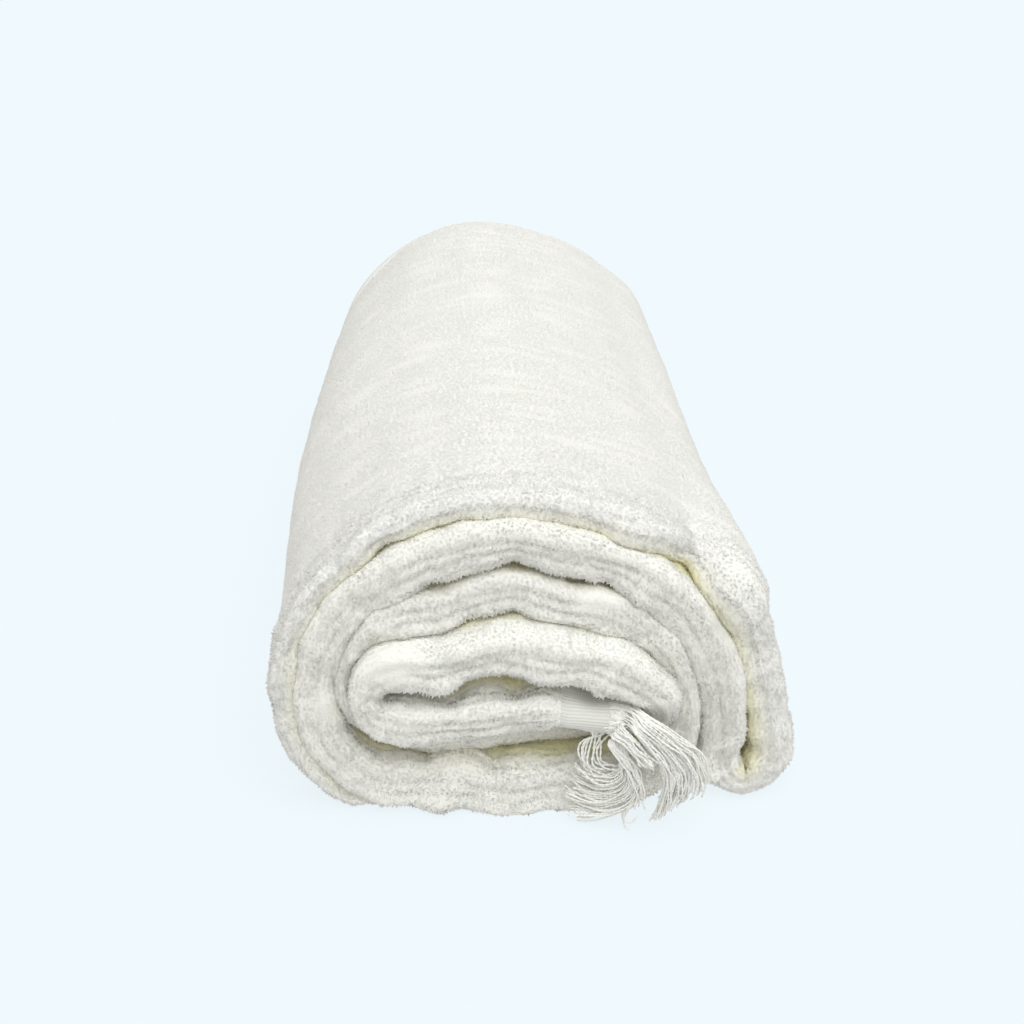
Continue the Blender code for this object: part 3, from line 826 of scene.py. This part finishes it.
def pile_height(run, around):
    """The pile's height as a share of its length: in knobbly rows on the folds, nearly even outside."""
    front = 1 - ease(np.abs(around), *OUTSIDE_STEP)
    knobs = KNOB_MIDDLE + KNOB_SIZE * noise_on(run, around, *KNOBS)
    height = 1 + (PILE_ROWS * loop_rows(run, around) + PILE_KNOBS * knobs) * front
    height += OUTSIDE_KNOBS * knobs * (1 - front)
    height += hump(around, *SHAGGY_EDGE) * hidden(run, around)
    return np.maximum(height, LEAST_PILE) * (1 - PRESSED_BY * pressed(run, around))


def band_lift(run, around):
    """How far the pile's roots rise into the soft wavy bands on the roll's outside."""
    bands = noise_on(run, around, *BANDS)
    return BAND_LIFT * (BAND_CREST - 2 * np.abs(bands)) * ease(np.abs(around), *OUTSIDE_STEP)


def pile_slope(run, around, length, along, across):
    """The slope of the pile's top, as a vector square to the cloth's normal."""

    def top(run, around):
        return pile_height(run, around) * length + band_lift(run, around)

    here = top(run, around)
    by_run = (top(run + SLOPE_STEP, around) - here) / SLOPE_STEP
    by_around = (top(run, around + SLOPE_STEP) - here) / SLOPE_STEP
    return along * by_run[:, None] + across * by_around[:, None]


def tuft_places(grid, run, around):
    """Those places that bear pile, with the cloth's point, its normal and its two tangents there."""
    kept = (run > BORDER) & (run < WHOLE_RUN - HEM_BARE)
    kept &= np.abs(around) < around_end(run, np.sign(around)) - SELVEDGE_BARE
    run, around = run[kept], around[kept]
    root, normal, along, across = grid_frame(grid, run, around)
    free = (root[:, 2] > FLOOR_CLEAR) | (normal[:, 2] > FLOOR_FACING)
    return [values[free] for values in (run, around, root, normal, along, across)]


def make_pile(grid, name, run, around, material):
    """Tufts of pile, each a small closed cone of three sides that leans with its neighbours."""
    _, thick, length, lean_by, seed = PILES[name]
    thick, length = thick * MM, length * MM
    draw = np.random.default_rng(seed)
    run, around, root, normal, along, across = tuft_places(grid, run, around)
    shading = normal - pile_slope(run, around, length, along, across)
    root = root + normal * band_lift(run, around)[:, None]
    count = len(run)
    flow = 2 * math.pi * noise_on(run, around, *FLOW) + draw.normal(0, FLOW_SPREAD, count)
    lean = np.clip(draw.normal(lean_by, LEAN_SPREAD, count), *LEAN_LIMITS)
    tall = length * draw.uniform(*LENGTHS, count) * pile_height(run, around)
    side = along * np.cos(flow)[:, None] + across * np.sin(flow)[:, None]
    way = normal * np.cos(lean)[:, None] + side * np.sin(lean)[:, None]
    start = draw.uniform(0, 2 * math.pi, count)
    wide = thick * draw.uniform(*WIDTHS, count)
    points = [root + way * tall[:, None]]
    normals = [shading + TIP_LEANING * way]
    for i in range(TUFT_SIDES):
        turn = start + 2 * math.pi * i / TUFT_SIDES
        spoke = along * np.cos(turn)[:, None] + across * np.sin(turn)[:, None]
        points.append(root + spoke * wide[:, None] - normal * ROOT_DEPTH)
        normals.append(shading + BASE_SPREADING * spoke)
    points = np.stack(points, axis=1)
    points[..., 2] = np.maximum(points[..., 2], 0.0)
    normals = unit(np.stack(normals, axis=1))
    corners = TUFT_SIDES + 1
    first = np.arange(count)[:, None, None] * corners
    faces = (first + np.array(TUFT_FACES)).reshape(-1, 3)
    # painted warm shade between the turns, on the tufts too
    warm = np.repeat(painted_shade(run, around), corners)
    piece = new_mesh(name, points.reshape(-1, 3), faces, material, normals.reshape(-1, 3), warm=warm)
    return piece


def pile_places():
    """The runs and arounds at which each piece of pile may have its tufts."""
    whole = (0, WHOLE_RUN)
    middle = (OUTER_START + WHOLE_RUN) / 2
    patches = {
        "pile_fronts": [(whole, ON_FOLDS, 41)],
        "pile_gaps": [(whole, ABOVE_FOLDS, 43), ((0, OUTER_START), BELOW_FOLDS, 44)],
        "pile_outside_right": [((OUTER_START, middle), ON_OUTSIDE, 46)],
        "pile_outside_left": [((middle, WHOLE_RUN), ON_OUTSIDE, 47)],
        "pile_back": [(whole, UPPER_SELVEDGE, 54), (whole, LOWER_SELVEDGE, 55)],
    }
    places = {}
    for name, parts in patches.items():
        pitch = PILES[name][0] * MM
        found = [scattered(runs, arounds, pitch, seed) for runs, arounds, seed in parts]
        places[name] = [np.concatenate(values) for values in zip(*found)]
    for name, side, seed in ("fronts", 1, 51), ("outside_right", -1, 52), ("outside_left", -1, 53):
        places["pile_" + name] = thinned(*places["pile_" + name], side, seed)
    return places


def yarn_points(bundle, share, lock, layer, draw):
    """A yarn's points past the border, between its bundle's routes, nearer to its lock towards the tip."""
    depth = BUNDLES[bundle][3]
    routes = np.array(ROUTES[bundle], float) * MM
    count, last = routes.shape[1], len(routes) - 1
    gathering = np.linspace(0, 1, count) ** GATHER_POWER * draw.uniform(*GATHER_BY)
    places = np.clip(share + (lock - share) * gathering, 0, 1) * last
    first = np.clip(places.astype(int), 0, max(last - 1, 0))
    blend = (places - first)[:, None]
    steps = np.arange(count)
    points = routes[first, steps] * (1 - blend) + routes[np.minimum(first + 1, last), steps] * blend
    fading = np.linspace(1, 0, count)
    points[:, 1] += depth * MM * (layer - 0.5) * (0.5 + 0.5 * fading)
    reach = STRAY if draw.uniform(0, 1) < STRAY_CHANCE else LOOSE
    points += ((1 - fading) ** LOOSE_POWER)[:, None] * draw.normal(0, 1, 3) * reach
    points[1:] += draw.normal(0, KINK, points[1:].shape)
    return points


def yarn_route(bundle, share, lock, layer, draw):
    """The line of one yarn. Share is its place in the bundle and lock where it ends, both from 0 to 1."""
    points = yarn_points(bundle, share, lock, layer, draw)
    arounds, runs = BUNDLES[bundle][1:3]
    around = (arounds[0] + (arounds[1] - arounds[0]) * share + draw.normal(0, ROOT_SCATTER)) * MM
    start = draw.uniform(*runs) * MM
    root_end = max(start - ROOT_LENGTH, 0.2 * MM)
    on_border = skin(np.array([start, root_end]), np.array([around, around]))
    on_border[1, 1] -= ROOT_LIFT
    knots = np.vstack([on_border, points])
    knots[:, 2] = np.maximum(knots[:, 2], YARN_RADIUS)
    lengths = lengths_along(knots)
    reach = 1 - SHORTEST * draw.uniform(0, 1) ** 2
    route = natural_spline(lengths, knots, np.linspace(0, lengths[-1] * reach, YARN_STEPS + 1))
    steps = np.linspace(0, 1, YARN_STEPS + 1)[:, None]
    wave = draw.uniform(0, 2 * math.pi, 3)
    route += WAVE_HEIGHT * steps * np.sin(2 * math.pi * WAVES * steps + wave)
    route[:, 2] = np.maximum(route[:, 2], YARN_RADIUS)
    return route


def carried_sides(route):
    """Two directions square to a route, which turn with it and don't spin."""
    headings = unit(np.gradient(route, axis=0))
    sides = np.zeros_like(route)
    side = np.cross(headings[0], (0, 0.3, 1))
    for i, heading in enumerate(headings):
        side = unit(side - heading * (side @ heading))
        sides[i] = side
    return sides, np.cross(sides, headings)


def ply_rings(route, sides, overs, phase):
    """Rings of one ply, which winds round the yarn's route."""
    count = len(route)
    wind = (2 * math.pi * lengths_along(route) / YARN_TURN + phase)[:, None]
    middle = route + PLY_APART * (sides * np.cos(wind) + overs * np.sin(wind))
    thick = PLY_RADIUS * np.where(np.arange(count) > count - 3, TIP_TAPER, 1.0)[:, None]
    rings = []
    for i in range(PLY_SIDES):
        turn = 2 * math.pi * i / PLY_SIDES
        rings.append(middle + thick * (sides * math.cos(turn) + overs * math.sin(turn)))
    return np.stack(rings, axis=1)


def lock_ends(locks, draw):
    """Where a bundle's locks end, from 0 to 1 across it."""
    ends = (np.arange(locks) + draw.uniform(0.25, 0.75, locks)) / locks
    if locks > 1:
        ends = (ends - ends[0]) / (ends[-1] - ends[0])
    return ends


def make_fringe(material):
    """Two-ply yarns that leave the border's end in bundles."""
    quads = tube_faces(YARN_STEPS + 1, PLY_SIDES)
    points, faces = [], []
    count = 0
    for bundle, (yarns, _, _, _, locks, seed) in BUNDLES.items():
        draw = np.random.default_rng(seed)
        ends = lock_ends(locks, draw)
        for i in range(yarns):
            share = (i + draw.uniform(0, 1)) / yarns
            lock = ends[np.argmin(np.abs(ends - share))]
            route = yarn_route(bundle, share, lock, draw.uniform(0, 1), draw)
            sides, overs = carried_sides(route)
            phase = draw.uniform(0, 2 * math.pi)
            for half_turn in (0, math.pi):
                rings = ply_rings(route, sides, overs, phase + half_turn)
                rings[..., 2] = np.maximum(rings[..., 2], 0.0)
                points.append(rings.reshape(-1, 3))
                faces += (quads + count).tolist()
                end = count + YARN_STEPS * PLY_SIDES
                faces.append(range(count + PLY_SIDES - 1, count - 1, -1))
                faces.append(range(end, end + PLY_SIDES))
                count += (YARN_STEPS + 1) * PLY_SIDES
    piece = new_mesh("fringe_yarns", np.concatenate(points), faces, material)
    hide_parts("fringe")
    return piece


def shader_of(name):
    """A new material, with its node tree and its shader."""
    material = bpy.data.materials.new(name)
    material.use_nodes = True
    return material, material.node_tree, material.node_tree.nodes["Principled BSDF"]


def set_inputs(shader, values):
    """Sets these values on the shader's own sockets."""
    for name, value in values.items():
        shader.inputs[name].default_value = value


def feed(tree, sockets, values):
    """Gives each socket its value, or links it where the value is another node's output."""
    for socket, value in zip(sockets, values):
        if isinstance(value, bpy.types.NodeSocket):
            tree.links.new(value, socket)
        else:
            socket.default_value = value


def mix_of(tree, kind, low, high, factor):
    """A mix node, whose ends are values or other nodes' outputs."""
    mix = tree.nodes.new("ShaderNodeMix")
    mix.data_type = kind
    feed(tree, [socket for socket in mix.inputs if socket.enabled], (factor, low, high))
    return next(socket for socket in mix.outputs if socket.enabled)


def noise_of(tree, scale, detail):
    """Noise on the object's own place."""
    place = tree.nodes.new("ShaderNodeTexCoord")
    grain = tree.nodes.new("ShaderNodeTexNoise")
    grain.inputs["Scale"].default_value = scale
    grain.inputs["Detail"].default_value = detail
    tree.links.new(place.outputs["Object"], grain.inputs["Vector"])
    return grain.outputs["Fac"]


def maths_of(tree, operation, *values):
    """A maths node, whose operands are values or other nodes' outputs."""
    node = tree.nodes.new("ShaderNodeMath")
    node.operation = operation
    feed(tree, node.inputs, values)
    return node.outputs["Value"]


def cotton_colour(tree):
    """Warm white of uneven tone, with a painted warm shade between the turns."""
    tone = mix_of(tree, "RGBA", *COTTON, noise_of(tree, 70, 3))
    # the painted shade's share, read from the mesh
    warm = tree.nodes.new("ShaderNodeAttribute")
    warm.attribute_name = "painted_shade"
    return mix_of(tree, "RGBA", tone, PAINTED_SHADE_TINT, warm.outputs["Fac"])


def finish_cotton(tree, shader, colour, height, bump):
    """Soft cotton of this colour, with fine bumps of this height and strength."""
    bumps = tree.nodes.new("ShaderNodeBump")
    bumps.inputs["Strength"].default_value = bump
    bumps.inputs["Distance"].default_value = GRAIN_HEIGHT
    tree.links.new(height, bumps.inputs["Height"])
    tree.links.new(bumps.outputs["Normal"], shader.inputs["Normal"])
    tree.links.new(colour, shader.inputs["Base Color"])
    set_inputs(shader, COTTON_FINISH)


def pile_material():
    """Warm white cotton loops."""
    material, tree, shader = shader_of("terry pile")
    finish_cotton(tree, shader, cotton_colour(tree), noise_of(tree, *GRAIN), PILE_GRAIN)
    return material


def ground_material():
    """The cloth under the pile, and the border's plain weave, whose warp shows as fine lines."""
    material, tree, shader = shader_of("terry ground")
    place = tree.nodes.new("ShaderNodeUVMap")
    place.uv_map = "cloth"
    parts = tree.nodes.new("ShaderNodeSeparateXYZ")
    tree.links.new(place.outputs["UV"], parts.inputs["Vector"])
    plain = maths_of(tree, "LESS_THAN", parts.outputs["X"], BORDER + 1 * MM)
    drift = maths_of(tree, "MULTIPLY", noise_of(tree, 60, 1), WARP_DRIFT)
    warp = maths_of(tree, "MULTIPLY_ADD", parts.outputs["Y"], 2 * math.pi / WARP_PITCH, drift)
    lines = maths_of(tree, "MULTIPLY_ADD", maths_of(tree, "SINE", warp), 0.5, 0.5)
    weave = mix_of(tree, "RGBA", *PLAIN_WEAVE, lines)
    ribs = maths_of(tree, "MULTIPLY", lines, 0.5)
    height = mix_of(tree, "FLOAT", noise_of(tree, *GRAIN), ribs, plain)
    colour = mix_of(tree, "RGBA", cotton_colour(tree), weave, plain)
    finish_cotton(tree, shader, colour, height, GROUND_GRAIN)
    return material


def fringe_material():
    """Greyish white cotton yarn."""
    material, tree, shader = shader_of("fringe cotton")
    tone = mix_of(tree, "RGBA", *FRINGE_COTTON, noise_of(tree, 160, 2))
    tree.links.new(tone, shader.inputs["Base Color"])
    set_inputs(shader, YARN_FINISH)
    return material


def floor_material():
    """A pale floor that glows: weakly and neutrally on the towel, and pale blue to the camera."""
    material, tree, shader = shader_of("floor")
    rays = tree.nodes.new("ShaderNodeLightPath")
    glow = mix_of(tree, "RGBA", FLOOR_GLOW, FLOOR_SEEN, rays.outputs["Is Camera Ray"])
    tree.links.new(glow, shader.inputs["Emission Color"])
    set_inputs(shader, {"Base Color": FLOOR_COLOUR, **FLOOR_FINISH})
    return material


def make_floor():
    """A plain floor just under the towel."""
    bpy.ops.mesh.primitive_plane_add(size=FLOOR_SIZE, location=(0, 0, FLOOR_LEVEL))
    floor = bpy.context.object
    floor.name = "floor"
    floor.data.materials.append(floor_material())


def make_sky():
    """Even warm light from all sides."""
    world = bpy.data.worlds.new("world")
    world.use_nodes = True
    set_inputs(world.node_tree.nodes["Background"], {"Color": SKY, "Strength": SKY_STRENGTH})
    bpy.context.scene.world = world


def make_sun():
    """A wide soft light from above and in front."""
    light = bpy.data.lights.new("key", "SUN")
    light.energy = SUN_STRENGTH
    light.color = SUN_COLOUR
    light.angle = math.radians(SUN_WIDTH)
    lamp = bpy.data.objects.new("key", light)
    lamp.rotation_euler = [math.radians(angle) for angle in SUN_TURN]
    bpy.context.scene.collection.objects.link(lamp)


def make_camera():
    """The camera at the photograph's angle."""
    camera_data = bpy.data.cameras.new("camera")
    camera_data.lens = SENSOR_WIDTH * FOCAL_LENGTH / IMAGE_WIDTH
    camera_data.sensor_width = SENSOR_WIDTH
    camera = bpy.data.objects.new("camera", camera_data)
    camera.location = CAMERA_PLACE
    camera.rotation_euler = [math.radians(angle) for angle in CAMERA_TURN]
    bpy.context.scene.collection.objects.link(camera)
    bpy.context.scene.camera = camera
    bpy.context.scene.view_settings.view_transform = "Standard"


def main():
    """The stage, the ground cloth, the fringe and the pile."""
    make_floor()
    make_sky()
    make_sun()
    make_camera()
    pile = pile_material()
    grid = cloth_grid()
    cloth = make_cloth(grid, ground_material())
    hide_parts("towel")
    pieces = [make_fringe(fringe_material())]
    for name, (run, around) in pile_places().items():
        pieces.append(make_pile(grid, name, run, around, pile))


main()
